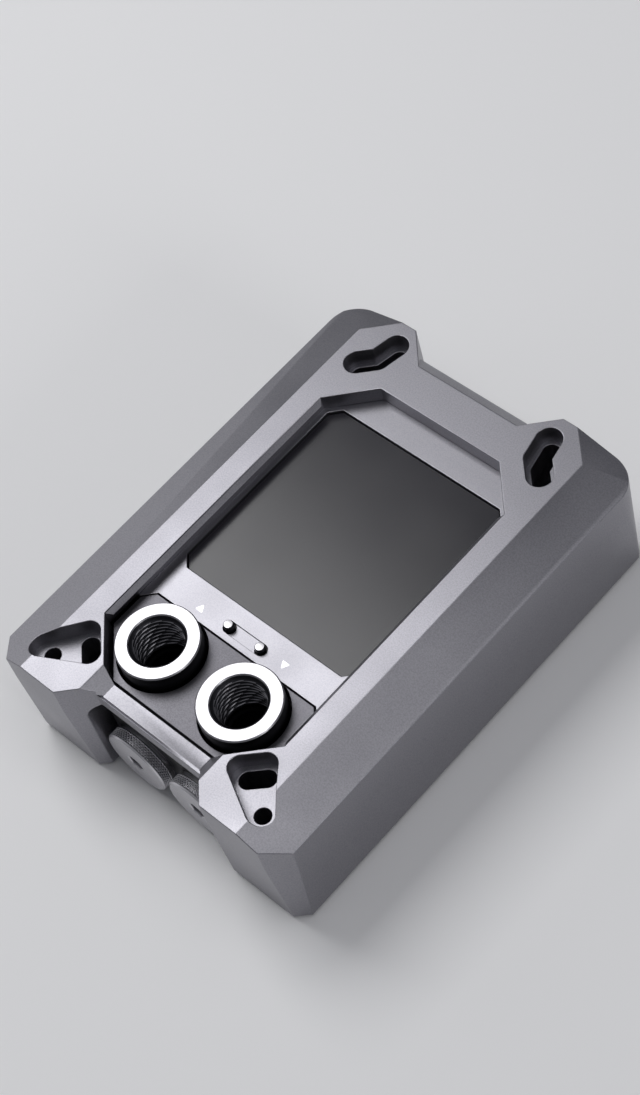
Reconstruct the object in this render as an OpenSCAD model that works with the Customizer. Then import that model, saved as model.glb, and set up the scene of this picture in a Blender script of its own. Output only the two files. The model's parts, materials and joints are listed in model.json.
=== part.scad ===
// Processor water block with a full metal cover, a screen, two tall top ports and two plugged
// front ports. Millimetres. X runs across, Y runs to the rear, and Z runs up from the copper
// face that meets the processor.

/* [Cover] */
// Length of the cover, front to rear
cover_l = 120.3; // [118:0.1:128]
// Width of the cover
cover_w = 88.4; // [86:0.1:96]
// Height of the cover's top above the processor
cover_h = 35; // [34:0.1:40]
// Thickness of the top round the opening
deck_t = 4.5; // [4:0.1:6]
// Thickness of the long side walls
side_wall = 5; // [4:0.1:6]
// Thickness of the rear wall in the notch
rear_wall = 4; // [3:0.1:5]
// Gap between the cover's lower rim and the processor face
rim_lift = 1.2; // [0.8:0.1:1.5]
// Width of the bevel along each long side
bevel_w = 10.6; // [9:0.1:12]
// Drop of the bevel along each long side
bevel_drop = 4.2; // [3:0.1:6]
// Height from the top down to the line where the walls start to lean in
break_drop = 9.7; // [7:0.1:14]
// How far the walls lean in at the rim
lean = 1; // [0.2:0.1:1.5]
// Leg of the upright cut at the front corners
front_corner = 5; // [3:0.1:7]
// Plan radius of the rear corners
rear_corner_r = 7.5; // [5:0.1:9]
// Leg of the sloped facet on the rear corners, measured on the top
facet_leg = 7.3; // [5:0.1:9]
// Fall of that facet for each millimetre outward
facet_slope = 0.4; // [0.3:0.01:0.5]

/* [Notches] */
// Half width of the front notch at the front face
front_mouth = 22.7; // [21.5:0.1:24]
// Distance from the front face back to the bridge
bridge_in = 6.3; // [5.5:0.1:6.5]
// Half width of the bridge's flat top
bridge_half = 15; // [13.5:0.1:15.2]
// Drop of the bridge below the top
bridge_drop = 3.5; // [3:0.1:4]
// Depth of the bridge, front to rear
bridge_deep = 4.35; // [4:0.05:4.6]
// Thickness of the bridge
bridge_t = 4; // [3:0.1:5]
// Edge cut along the bridge's front
bridge_cut = 0.6; // [0.3:0.1:1]
// Gap between the front plugs and the sides of the arch that they stand in
arch_gap = 1; // [0.8:0.1:1.6]
// Radius of the arch's upper corners
arch_r = 5; // [3:0.1:7]
// Half width of the rear notch at the inner edge
rear_notch = 14.6; // [13:0.1:16]
// Depth of the rear notch at the top
rear_notch_in = 7.55; // [7:0.05:9]
// Leg of the bevel along the rear notch
rear_notch_bevel = 3.5; // [2:0.1:4.5]

/* [Opening] */
// Width of the flat rail beside the opening
rail_w = 5.8; // [5.6:0.05:6]
// Distance from the cover's rear end to the opening
rear_bar = 17.35; // [17:0.05:17.55]
// Leg of the cut in the opening's rear corners
open_cut = 10; // [9.6:0.1:11]
// Distance from the bridge to the opening's front corner cuts
corner_in = 1.3; // [1.1:0.1:1.6]
// Gap between the cover and the pieces inside it
fit_gap = 0.4; // [0.2:0.05:0.5]

/* [Mounting] */
// Distance from the socket's holes to the cover's long sides, for a pattern 54 wide
hole_side_in = 17.2; // [17:0.1:17.4]
// Distance from the socket's holes to the cover's ends, for a pattern 90 long
hole_end_in = 15.15; // [14.95:0.05:15.35]
// Radius of the mounting slots
slot_r = 2.1; // [1.9:0.05:2.3]
// Radius of the stepped seat above each rear slot
seat_r = 3.15; // [2.9:0.05:3.4]
// Depth of the pockets and seats in the ears
pocket_deep = 5; // [4:0.1:6]
// Thickness of the ears below the pockets
ear_t = 6; // [4:0.1:8]
// Radius of the spare hole in the front pockets
spare_r = 1.9; // [1.6:0.05:2.1]
// Wall kept round the front slots under the ears
front_relief = 1.1; // [0.6:0.1:1.4]
// Wall kept round the rear slots under the ears
rear_relief = 2.5; // [1.5:0.1:2.8]

/* [Ports] */
// Distance between the two top ports
port_pitch = 25.4; // [25.2:0.1:25.7]
// Distance of the top ports behind the cover's front face
port_in = 23.15; // [22.85:0.05:23.35]
// Radius of the thread's wall in the ports
thread_r = 6.58; // [6.5:0.01:6.6]
// Depth of the thread in the top ports
thread_deep = 13; // [10:0.1:14]
// Radius of the collars
collar_r = 9.85; // [9.5:0.05:10]
// Height of the collars above the cover's top
collar_rise = 0.4; // [0:0.1:2]
// Radius of each port's mouth
mouth_r = 6.85; // [6.7:0.05:7.2]
// Radius of the collars' lower end in the manifold
spigot_r = 8; // [7.7:0.05:8.2]
// Gap between the collars and the port block
collar_gap = 0.55; // [0.3:0.05:0.7]
// Drop of the port block's top below the cover's top
block_drop = 4.3; // [3.5:0.1:4.6]
// Gap between the port block and the opening
block_gap = 0.8; // [0.5:0.05:1]
// Distance from the top ports back to the port block's rear edge
block_rear = 10.1; // [10:0.1:10.4]
// Leg of the cuts in the port block's rear corners
block_cut = 2.8; // [2:0.1:3.2]

/* [Front plugs] */
// Distance between the two front ports
plug_pitch = 19.6; // [19.4:0.1:19.8]
// Height of the front ports
plug_z = 10.1; // [10:0.1:10.4]
// Radius of the plugs' heads
plug_r = 8.7; // [8.4:0.05:8.8]
// Thickness of the plugs' heads
plug_head = 4; // [3:0.1:4.5]
// Length of the plugs' threaded end
plug_thread = 7; // [5:0.1:8]
// Depth of the front ports
front_port_deep = 9; // [8.5:0.1:9.2]
// Width across flats of the plugs' hex socket
plug_hex = 4; // [3:0.1:6]
// Notches round each plug's rim
knurls = 36; // [24:1:48]

/* [Screen] */
// Width of the face plate seen beside the screen
side_strip = 1.5; // [1.2:0.1:2]
// Width of the face plate between the port block and the screen
front_strip = 9.3; // [8.9:0.1:10.9]
// Width of the face plate seen behind the screen
rear_strip = 7.8; // [7.3:0.1:8.8]
// Leg of the cuts in the screen's corners
screen_cut = 2.7; // [2:0.1:4]
// Thickness of the face plate
plate_t = 2; // [1.6:0.1:2.4]
// Drop of the screen below the face plate
screen_drop = 0.7; // [0.2:0.1:1]
// Width of the face plate's rim under the opening's sides
side_ledge = 4.2; // [3.8:0.1:4.4]
// Width of the face plate's rim under the opening's rear edge
end_ledge = 2.4; // [2:0.1:2.5]
// Thickness of the display module
display_t = 3; // [2:0.1:3.2]
// Width of the display module's edge round the screen
display_edge = 1.2; // [0.8:0.1:1.4]
// Thickness of the sheet that holds the display
bracket_t = 1.5; // [1:0.1:1.6]
// Thickness of the control board
board_t = 1.6; // [1:0.1:1.7]
// Length of the posts between the bracket and the control board
board_post = 0.8; // [0.5:0.1:1]

/* [Contact pins] */
// Distance between the two pins
pin_pitch = 9.7; // [9:0.1:11]
// Distance of the pins behind the port block
pin_in = 3.5; // [3.2:0.1:3.8]
// Radius of the pins
pin_r = 1.2; // [1:0.05:1.25]
// Height of the pins above the face plate
pin_rise = 1.5; // [1:0.1:3]
// Radius of the bushes that the pins stand in
bush_r = 1.5; // [1.45:0.05:1.7]
// Depth of the shallow recess that joins the pins
pin_recess = 0.4; // [0.2:0.1:0.6]

/* [Manifold] */
// Gap between the manifold's top and the board's screws
board_clear = 0.8; // [0.3:0.1:1]
// Height of the manifold's underside
manifold_z0 = 1.6; // [1.5:0.1:1.8]
// Thickness of the manifold's flange
flange_t = 4; // [3.8:0.1:5]
// Half width of the manifold's block
manifold_x = 26.5; // [26:0.1:28]
// Rear edge of the manifold's block
manifold_y1 = 25; // [24:0.1:28]
// Distance of the manifold's front face behind the cover's front face
manifold_in = 8.35; // [8.2:0.05:8.6]
// Height of the long channels
channel_z = 12; // [11.9:0.1:12.4]
// Radius of the long channels
channel_r = 3.2; // [2.8:0.1:3.3]
// Radius of the passages below the top ports
drop_r = 5; // [4.5:0.1:5.2]
// Length of the collars' lower end in the manifold
spigot_len = 2.8; // [2.4:0.1:2.9]

/* [Cold plate] */
// Side of the copper plate
plate_side = 54; // [53:0.1:54.6]
// Side of the face that meets the processor
pad_side = 41; // [38:0.1:42]
// Height of that face's step
pad_step = 1; // [0.8:0.1:1.4]
// Top of the copper plate
plate_top = 3.4; // [3.2:0.1:3.8]
// Width of the field of fins
fins_w = 30; // [28:0.1:30.4]
// Length of the fins
fins_l = 28; // [26:0.1:29]
// Height of the fins
fins_h = 2.6; // [2:0.1:3]
// Thickness of one fin
fin_t = 0.4; // [0.3:0.05:0.5]
// Gap between two fins
fin_gap = 0.4; // [0.35:0.05:0.6]
// Thickness of the jet plate
jet_t = 0.8; // [0.5:0.1:1]
// Width of the jet plate's slot
jet_slot = 1.6; // [1:0.1:3]
// Side of the loop that the cold plate's seal makes, across
seal_x = 36; // [35.6:0.1:37]
// Side of the loop that the cold plate's seal makes, along
seal_y = 40.4; // [40:0.1:41]
// Width of the cold plate's seal
seal_w = 2; // [1.6:0.1:2.2]
// Height of the cold plate's seal
seal_h = 1.5; // [1.2:0.1:1.6]

/* [Screws] */
// Radius of the larger screws
m3_r = 1.5; // [1.4:0.05:1.6]
// Radius of the middle screws
m25_r = 1.25; // [1.15:0.05:1.3]
// Radius of the small screws
m2_r = 1; // [0.9:0.05:1.1]
// Gap round a screw in its thread
thread_gap = 0.05; // [0.02:0.01:0.1]
// Gap round a screw in a plain hole
hole_gap = 0.15; // [0.1:0.01:0.25]
// Radius of the cover's screw bosses
boss_r = 3.6; // [3.3:0.1:4]

/* [Hidden] */
$fn = 64;
eps = 0.01;

// Ends and levels of the cover
front = -cover_l / 2;
rear = cover_l / 2;
half_w = cover_w / 2;
deck_z = cover_h - deck_t;
break_z = cover_h - break_drop;
pocket_z = cover_h - pocket_deep;
ear_z = pocket_z - ear_t;
bridge_y0 = front + bridge_in;
bridge_y1 = bridge_y0 + bridge_deep;
bridge_z = cover_h - bridge_drop;
arch_z = bridge_z - bridge_t;
arch_half = plug_pitch / 2 + plug_r + arch_gap;
dip_half = bridge_half + bridge_drop;
notch_wall_y = rear - rear_notch_in + rear_notch_bevel;

// The opening keeps its distance from the cover's sides and ends.
open_x = half_w - bevel_w - rail_w;
open_y0 = bridge_y1 + corner_in;
open_y1 = rear - rear_bar;

// The opening's front cuts start at the ends of the bridge's slopes and run at 45 degrees.
front_cut = open_x - dip_half + 0.1;
front_diag = open_x - (open_y0 + front_cut);
rear_diag = open_x + open_y1 - open_cut;

// Cavity under the top
cav_x = half_w - side_wall;
cav_y1 = notch_wall_y - rear_wall;
cav_diag = rear_diag + (end_ledge + fit_gap) * sqrt(2);
ear_y = open_y0 + front_cut;

// Socket holes and the slots round them: the slots end near the holes
hole_x = half_w - hole_side_in;
hole_y = rear - hole_end_in;
front_slot = [[hole_x - 2.5, -hole_y - 3.2], [hole_x + 0.5, -hole_y - 0.4]];
spare_hole = [hole_x + 5.8, -hole_y - 7.4];
pocket_path = [[hole_x - 3.5, -hole_y - 3.2], [hole_x + 0.4, -hole_y + 0.5],
  [hole_x + 6.9, -hole_y - 8.1]];
pocket_rs = [2.8, 2.8, 3.1];
rear_path = [[hole_x - 3.9, hole_y + 8.9], [hole_x - 2.8, hole_y + 3.6],
  [hole_x + 0.6, hole_y + 0.3]];

// Ports
port_x = port_pitch / 2;
port_y = -(front + port_in);
block_y1 = -port_y + block_rear;
front_port_x = plug_pitch / 2;
collar_z = cover_h + collar_rise;
block_z = cover_h - block_drop;
block_x = open_x - block_gap;
block_diag = front_diag - block_gap * sqrt(2);
block_y0 = bridge_y1 + block_gap * 0.75;
seal_deep = 1.2;
seal_r0 = spigot_r + 0.1;
seal_r1 = collar_r - 0.35;
manifold_y0 = front + manifold_in;
plug_y0 = manifold_y0 - plug_head;
plug_seal_t = 1.2;
plug_seal_r = thread_r + 1.6;

// Face plate, screen and what hangs below them
screen_x = open_x - side_strip;
screen_y0 = block_y1 + front_strip;
screen_y1 = open_y1 - rear_strip;
plate_x = open_x + side_ledge;
plate_y1 = open_y1 + end_ledge;
plate_diag = rear_diag + end_ledge * sqrt(2);
plate_z0 = deck_z - plate_t;
glass_z = deck_z - screen_drop;
glass_gap = 0.2;
display_z0 = plate_z0 - display_t;
display_x = screen_x + display_edge;
bracket_z0 = display_z0 - bracket_t;
board_z1 = bracket_z0 - board_post;
board_z0 = board_z1 - board_t;
board_head_t = 0.8;
manifold_h = board_z0 - board_head_t - board_clear;
spigot_z = manifold_h - spigot_len;
board_side_in = 7.5;
board_x = display_x - board_side_in;
board_y0 = 3;
board_y1 = cav_y1 - fit_gap;
plate_screw_x = open_x + side_ledge / 2;
plate_screw_in = 4.4;
plate_screw_mid = 21.6;
plate_screw_ys = [screen_y0 - plate_screw_in, screen_y0 + plate_screw_mid, screen_y1 - 7];
plate_screw_deep = 3;
post_side = 2.6;
post_front_in = 4;
post_rear_in = 15;
post_x = display_x + post_side;
post_ys = [screen_y0 + post_front_in, screen_y1 - post_rear_in];
post_r = 2.2;
board_post_in = 4;
board_post_y0 = 9;
board_post_rear_in = 3;
board_posts = [for (s = [-1, 1], y = [board_post_y0, screen_y1 - board_post_rear_in])
  [s * (board_x - board_post_in), y]];

// Contact pins
pin_x = pin_pitch / 2;
pin_y = -(block_y1 + pin_in);
pin_foot = 1;
pin_chamfer = 0.2;

// Manifold and cold plate
flange_z = manifold_z0 + flange_t;
fins_z = plate_top + fins_h;
jet_x = fins_w / 2 + 0.4;
trough_y = fins_l / 2 + 4;
jet_y = fins_l / 2 - 1;
jet_z = fins_z + jet_t;
plenum_h = 1.2;
plenum_x = jet_x - 1;
groove_gap = 0.1;
well_y = fins_l / 2 + 2;

// Screws: places and head sizes
cold_screws = [for (x = [-1, 0, 1], y = [-1, 0, 1])
  if (x != 0 || y != 0) [x * (plate_side / 2 - 3), y * (plate_side / 2 - 3)]];
boss_x = cav_x - 3;
boss_ys = [ear_y + boss_r + 3, -4, cav_diag - boss_x - 6];
cover_screw_xy = [for (s = [-1, 1], y = boss_ys) [s * boss_x, y]];
block_screw_x = 23;
block_screw_rear = 5.5;
block_screw_front = 9;
block_screws = [[-block_screw_x, -port_y + block_screw_rear],
  [block_screw_x, -port_y + block_screw_rear], [0, -port_y - block_screw_front]];
cover_screw_len = 12;
block_screw_in = 6.4;
head_h = 1.9;
cover_seat = manifold_z0 + head_h + 0.1;
block_seat = manifold_z0 + head_h + 0.9;
block_screw_len = manifold_h + block_screw_in - block_seat;
cold_head_r = 2.2;
cold_head_t = 0.9;
cold_screw_in = 5;
plate_head_r = 2.1;
plate_head_t = 1;
bracket_head_r = 1.9;
bracket_head_t = 0.8;
board_head_r = 1.8;
bracket_screw_in = 1.2;
board_screw_in = 1.1;

// Outline from three corner rules: straight sides, and corners cut along 45 degree lines
function cut_rect(x, y0, y1, c0, c1) = [
  [-x + c0, y0], [x - c0, y0], [x, y0 + c0], [x, y1 - c1],
  [x - c1, y1], [-x + c1, y1], [-x, y1 - c1], [-x, y0 + c0]];
function mirrored(pts) = concat(pts, [for (i = [len(pts) - 1:-1:0]) [-pts[i][0], pts[i][1]]]);

// Quadrilateral along the outer tangents of two circles, drawn in by a hair so that its sides
// cross the circles and don't only graze them
graze = 0.02;
function tangent_quad(a, ra, b, rb) =
  let (d = b - a, t = atan2(d[1], d[0]), k = acos((ra - rb) / norm(d)),
    up = [cos(t + k), sin(t + k)], down = [cos(t - k), sin(t - k)])
  [a + (ra - graze) * up, b + (rb - graze) * up, b + (rb - graze) * down, a + (ra - graze) * down];

// Slot that runs through circles: a path of round ends joined by their tangents
module slot_2d(path, rs, closed = false) {
  n = len(path);
  for (i = [0:n - 1]) translate(path[i]) circle(r = rs[i]);
  for (i = [0:n - (closed ? 1 : 2)])
    polygon(tangent_quad(path[i], rs[i], path[(i + 1) % n], rs[(i + 1) % n]));
  if (closed) polygon(path);
}

module slot_cut(path, rs, z0, z1, closed = false) {
  translate([0, 0, z0]) linear_extrude(z1 - z0) slot_2d(path, rs, closed);
}

// Prism with its outline in the XZ plane, along Y, and one with its outline in YZ, along X
module along_y(y0, y1) {
  translate([0, y1, 0]) rotate([90, 0, 0]) linear_extrude(y1 - y0) children();
}
module along_x(x0, x1) {
  translate([x0, 0, 0]) rotate([90, 0, 90]) linear_extrude(x1 - x0) children();
}
module both_sides() {
  children();
  mirror([1, 0, 0]) children();
}
module slab(pts, z0, z1) {
  translate([0, 0, z0]) linear_extrude(z1 - z0) polygon(pts);
}
module rod(xy, r, z0, z1) {
  translate([xy[0], xy[1], z0]) cylinder(r = r, h = z1 - z0);
}

// Cap screw with its head down and its shank up
module screw(xy, seat, r, head_r, head_t, length) {
  difference() {
    union() {
      rod(xy, head_r, seat - head_t, seat);
      rod(xy, r, seat - eps, seat + length);
    }
    translate([xy[0], xy[1], seat - head_t - eps]) cylinder(r = r * 0.8, h = head_t * 0.6, $fn = 6);
  }
}

// Wedge that leans a wall in from the break line down to the rim, outline seen along the wall
module lean_wedge(wall) {
  fall = break_z - rim_lift;
  polygon([[wall, break_z], [wall + 5, break_z], [wall + 5, rim_lift - 1],
    [wall - lean * (fall + 1) / fall, rim_lift - 1]]);
}

// Outside of the cover: plan outline, bevels, leaning walls and rear corner facets
module cover_outside() {
  y1 = rear - rear_corner_r;
  x1 = half_w - rear_corner_r;
  difference() {
    translate([0, 0, rim_lift]) linear_extrude(cover_h - rim_lift) union() {
      polygon([[-half_w + front_corner, front], [half_w - front_corner, front],
        [half_w, front + front_corner], [half_w, y1], [-half_w, y1], [-half_w, front + front_corner]]);
      translate([-x1, y1 - 1]) square([2 * x1, rear_corner_r + 1]);
      for (s = [-1, 1]) translate([s * x1, y1]) circle(r = rear_corner_r);
    }
    both_sides() {
      along_y(front - 1, rear + 1) polygon([[half_w - bevel_w, cover_h],
        [half_w + 5, cover_h - bevel_drop * (bevel_w + 5) / bevel_w], [half_w + 5, cover_h + 5],
        [half_w - bevel_w, cover_h + 5]]);
      along_y(front - 1, rear + 1) lean_wedge(half_w);
      translate([half_w - bevel_w - facet_leg, rear, 0]) rotate([0, 0, 45])
        along_y(-40, 40) polygon([[0, cover_h], [40, cover_h - facet_slope * 40],
          [40, cover_h + 5], [0, cover_h + 5]]);
    }
    along_x(-half_w - 1, half_w + 1) mirror([1, 0]) lean_wedge(-front);
  }
}

// Plan of the cavity: narrow at the front between the ears, cut across the rear corners.
// g draws it in, for what stands inside.
function cavity_pts(g, y0) = let (d = g * sqrt(2)) mirrored([
  [arch_half - g, y0], [arch_half - g, arch_half - g - front_diag + d],
  [ear_y + g + front_diag - d, ear_y + g], [cav_x - g, ear_y + g],
  [cav_x - g, cav_diag - d - cav_x + g], [cav_diag - d - cav_y1 + g, cav_y1 - g]]);

module opening_2d() {
  polygon(mirrored([[dip_half - 0.1, bridge_y1], [dip_half - 0.1, open_y0], [open_x, ear_y],
    [open_x, open_y1 - open_cut], [open_x - open_cut, open_y1]]));
}

// Socket window in the rear wall: a flat slot with round ends, inside a wider recess
socket_w = 9;
socket_h = 3.3;
socket_z = board_z1 + socket_h / 2;
module stadium(w, h) {
  for (s = [-1, 1]) translate([s * (w - h) / 2, 0]) circle(d = h);
  square([w - h, h], center = true);
}

// Machined aluminium cover
module outer_cover() {
  color("#6d6c71") difference() {
    cover_outside();
    // rear notch with its bevelled inner edge
    intersection() {
      slab(mirrored([[rear_notch + rear_notch_in + 1, rear + 1], [rear_notch, rear - rear_notch_in]]),
        0, cover_h + 1);
      along_x(-30, 30) polygon([[notch_wall_y, 0], [notch_wall_y, cover_h - rear_notch_bevel],
        [notch_wall_y - rear_notch_bevel - 1, cover_h + 1], [rear + 2, cover_h + 1], [rear + 2, 0]]);
    }
    // front notch, from the mouth in to the bridge
    slab(mirrored([[front_mouth + 1, front - 1], [front_mouth - bridge_in, bridge_y0]]),
      0, cover_h + 1);
    // dip over the bridge, with slopes at both ends
    along_y(front - 1, open_y0) polygon(mirrored([[bridge_half, bridge_z],
      [dip_half + 1, cover_h + 1]]));
    // cut along the bridge's front edge
    along_x(-dip_half, dip_half) translate([bridge_y0, bridge_z]) rotate(45)
      square(bridge_cut * sqrt(2), center = true);
    // arch for the plugs
    along_y(front - 1, ear_y) union() {
      translate([-arch_half, 0]) square([2 * arch_half, arch_z - arch_r]);
      translate([-arch_half + arch_r, 0]) square([2 * (arch_half - arch_r), arch_z]);
      for (s = [-1, 1]) translate([s * (arch_half - arch_r), arch_z - arch_r]) circle(r = arch_r);
    }
    // opening and the cavity below it
    translate([0, 0, deck_z - 1]) linear_extrude(deck_t + 2) opening_2d();
    slab(cavity_pts(0, bridge_y1), 0, flange_z);
    translate([0, 0, flange_z - eps]) linear_extrude(deck_z - flange_z + eps) difference() {
      polygon(cavity_pts(0, bridge_y1));
      for (p = cover_screw_xy) translate(p) circle(r = boss_r);
    }
    for (p = cover_screw_xy) rod(p, m3_r + thread_gap, flange_z - 1, flange_z + cover_screw_len);
    // threads for the face plate's screws
    for (s = [-1, 1], y = plate_screw_ys)
      rod([s * plate_screw_x, y], m25_r + thread_gap, deck_z - eps, deck_z + plate_screw_deep);
    // ears: pockets and stepped slots, relieved from below
    both_sides() {
      slot_cut(pocket_path, pocket_rs, pocket_z, cover_h + 1, closed = true);
      slot_cut(front_slot, [slot_r, slot_r], ear_z - 1, pocket_z + 1);
      slot_cut(front_slot, [slot_r + front_relief, slot_r + front_relief], 0, ear_z);
      rod(spare_hole, spare_r, 0, pocket_z + 1);
      slot_cut(rear_path, [seat_r, seat_r, seat_r], pocket_z, cover_h + 1);
      slot_cut(rear_path, [slot_r, slot_r, slot_r], ear_z - 1, pocket_z + 1);
      slot_cut(rear_path, [for (i = [0:2]) slot_r + rear_relief], 0, ear_z);
    }
    // window for the data socket
    along_y(cav_y1 - 1, rear) translate([0, socket_z]) stadium(socket_w + 0.4, socket_h + 0.4);
    along_y(cav_y1 + 1.6, rear) translate([0, socket_z]) stadium(socket_w + 4, socket_h + 4);
  }
}

// Face plate round the screen
module face_plate() {
  g = fit_gap * (sqrt(2) - 1);
  color("#8f8e94") difference() {
    slab(mirrored([[block_x - block_cut + g, block_y1 + fit_gap],
      [block_x + fit_gap, block_y1 - block_cut + g], [plate_x, block_y1 - block_cut + g],
      [plate_x, plate_diag - plate_x], [plate_diag - plate_y1, plate_y1]]), plate_z0, deck_z);
    slab(cut_rect(screen_x + glass_gap, screen_y0 - glass_gap, screen_y1 + glass_gap,
      screen_cut, screen_cut), plate_z0 - 1, deck_z + 1);
    translate([0, -pin_y, deck_z - pin_recess]) linear_extrude(2)
      stadium(pin_pitch + 2 * bush_r, 2 * bush_r);
    for (s = [-1, 1]) {
      rod([s * pin_x, -pin_y], bush_r, plate_z0 - 1, deck_z + 1);
      for (y = plate_screw_ys) rod([s * plate_screw_x, y], m25_r + hole_gap, plate_z0 - 1, deck_z + 1);
      for (y = post_ys) rod([s * post_x, y], m2_r + thread_gap, plate_z0 - 1, deck_z - 0.6);
    }
  }
}

// Smoked cover glass
module screen_glass() {
  color("#2c2c30") slab(cut_rect(screen_x, screen_y0, screen_y1, screen_cut, screen_cut),
    plate_z0, glass_z);
}

// Display panel with its light box and metal back
module display_module() {
  e = display_edge;
  color("#3a3d42") union() {
    slab(cut_rect(display_x, screen_y0 - e, screen_y1 + e * 0.3, screen_cut, screen_cut + e),
      display_z0 + 0.6, plate_z0);
    slab(cut_rect(display_x - 1, screen_y0 - e + 1, screen_y1 - 1, screen_cut, screen_cut + e),
      display_z0, display_z0 + 0.6 + eps);
  }
}

// Sheet that holds the display up, with four posts to the face plate and four to the board
module display_bracket() {
  y0 = screen_y0 - display_edge - 1;
  color("#4b4d52") difference() {
    union() {
      slab(cut_rect(post_x + post_r, y0, screen_y1, 4, post_x + post_r + screen_y1 - plate_diag + 1),
        bracket_z0, display_z0);
      for (s = [-1, 1], y = post_ys) rod([s * post_x, y], post_r, bracket_z0, plate_z0);
      for (p = board_posts) rod(p, post_r, board_z1, display_z0 - 0.2);
    }
    for (s = [-1, 1], y = post_ys) rod([s * post_x, y], m2_r + hole_gap, bracket_z0 - 1, plate_z0 + 1);
    for (p = board_posts)
      rod(p, m2_r + thread_gap, board_z1 - 1, display_z0 + 1);
    slab(cut_rect(12, 0, 24, 3, 3), bracket_z0 - 1, display_z0 + 1);
  }
}

// Board that drives the display, with its chips
module control_board() {
  color("#1d4630") difference() {
    union() {
      slab(cut_rect(board_x, board_y0, board_y1, 1.5,
        board_x + board_y1 - cav_diag + fit_gap * sqrt(2)), board_z0, board_z1);
      slab(cut_rect(5, 8, 18, 0.3, 0.3), board_z1 - eps, board_z1 + 0.8);
      for (s = [-1, 1]) slab([[s * 8.5, 24], [s * 12, 24], [s * 12, 30], [s * 8.5, 30]],
        board_z1 - eps, board_z1 + 0.7);
    }
    for (p = board_posts) rod(p, m2_r + hole_gap, board_z0 - 1, board_z1 + 2);
  }
}

// Flat data socket at the rear of the board, open to the rear
module data_socket() {
  y0 = board_y1 - 5.5;
  y1 = cav_y1 + 1.2;
  color("#b9bbc0") difference() {
    along_y(y0, y1) translate([0, socket_z]) stadium(socket_w, socket_h);
    difference() {
      along_y(y0 + 1, y1 + 1) translate([0, socket_z]) stadium(socket_w - 0.7, socket_h - 0.7);
      translate([-3.3, y0, socket_z - 0.35]) cube([6.6, y1 - y0 - 0.6, 0.7]);
    }
  }
}

// Block that the two collars stand in
module port_block() {
  cut0 = block_x - block_y0 - block_diag;
  color("#3a3a3e") difference() {
    slab(cut_rect(block_x, block_y0, block_y1, cut0, block_cut), manifold_h, block_z);
    for (s = [-1, 1]) rod([s * port_x, -port_y], collar_r + collar_gap, manifold_h - 1, block_z + 1);
    for (p = block_screws) rod(p, m3_r + thread_gap, manifold_h - 1, block_seat + block_screw_len + 0.5);
  }
}

// Threaded collar, turned from brass and plated black, with its top face cut bright
module port_bushing(s) {
  color("#1c1c1f") translate([s * port_x, -port_y, 0]) rotate_extrude() polygon([
    [drop_r, spigot_z], [spigot_r, spigot_z], [spigot_r, manifold_h], [collar_r, manifold_h],
    [collar_r, collar_z - 0.3], [collar_r - 0.3, collar_z], [mouth_r, collar_z],
    [thread_r, collar_z - (mouth_r - thread_r)], [thread_r, collar_z - thread_deep],
    [drop_r, collar_z - thread_deep]]);
}

// Seal ring under a collar
module bushing_seal(s) {
  color("#111112") translate([s * port_x, -port_y, manifold_h - seal_deep]) rotate_extrude()
    translate([seal_r0, 0]) square([seal_r1 - seal_r0, seal_deep]);
}

// Body with the water channels, and a flange that closes the underside of the cover
module manifold_body() {
  block = mirrored([[arch_half - fit_gap, manifold_y0],
    [arch_half - fit_gap, arch_half - fit_gap - front_diag + fit_gap * sqrt(2)],
    [manifold_x, manifold_x - front_diag + fit_gap * sqrt(2)], [manifold_x, manifold_y1]]);
  color("#18181a") difference() {
    union() {
      slab(cavity_pts(fit_gap, manifold_y0), manifold_z0, flange_z);
      slab(block, flange_z - eps, manifold_h);
    }
    // seat for the cold plate, the fins, the jet plate and the space above its slot
    slab(cut_rect(plate_side / 2 + 0.2, -plate_side / 2 - 0.2, plate_side / 2 + 0.2, 2, 2),
      0, plate_top);
    slab(cut_rect(jet_x, -trough_y, trough_y, 0.5, 0.5), plate_top - eps, fins_z);
    slab(cut_rect(jet_x, -jet_y - 0.1, jet_y + 0.1, 0.5, 0.5), fins_z - eps, jet_z);
    slab(cut_rect(plenum_x, -3, 3, 1, 1), jet_z - eps, jet_z + plenum_h);
    cold_seal(groove_gap, eps);
    // front ports and the long channels behind them
    for (s = [-1, 1]) {
      translate([s * front_port_x, manifold_y0 - 1, plug_z]) rotate([-90, 0, 0])
        cylinder(r = thread_r, h = front_port_deep + 1);
      translate([s * front_port_x, manifold_y0, channel_z]) rotate([-90, 0, 0])
        cylinder(r = channel_r, h = (s < 0 ? 2 : well_y + 2) - manifold_y0);
    }
    // wells from the channels down to the fins: the left one feeds, the right ones collect
    rod([-front_port_x, 0], 2.4, jet_z, channel_z);
    for (s = [-1, 1]) rod([front_port_x, s * well_y], 1.8, fins_z - eps, channel_z);
    // top ports: passage, collar seat and seal groove
    for (s = [-1, 1]) {
      rod([s * port_x, -port_y], drop_r, channel_z - channel_r, manifold_h);
      rod([s * port_x, -port_y], spigot_r + thread_gap, spigot_z, manifold_h + 1);
      rod([s * port_x, -port_y], seal_r1 + groove_gap, manifold_h - seal_deep, manifold_h + 1);
    }
    // screws from below
    for (p = cover_screw_xy) {
      rod(p, m3_r + hole_gap, 0, flange_z + 1);
      rod(p, 2 * m3_r, 0, cover_seat);
    }
    for (p = block_screws) {
      rod(p, m3_r + hole_gap, 0, manifold_h + 1);
      rod(p, 2 * m3_r, 0, block_seat);
    }
    for (p = cold_screws) rod(p, m25_r + thread_gap, plate_top - eps, plate_top + cold_screw_in + 1);
  }
}

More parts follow.
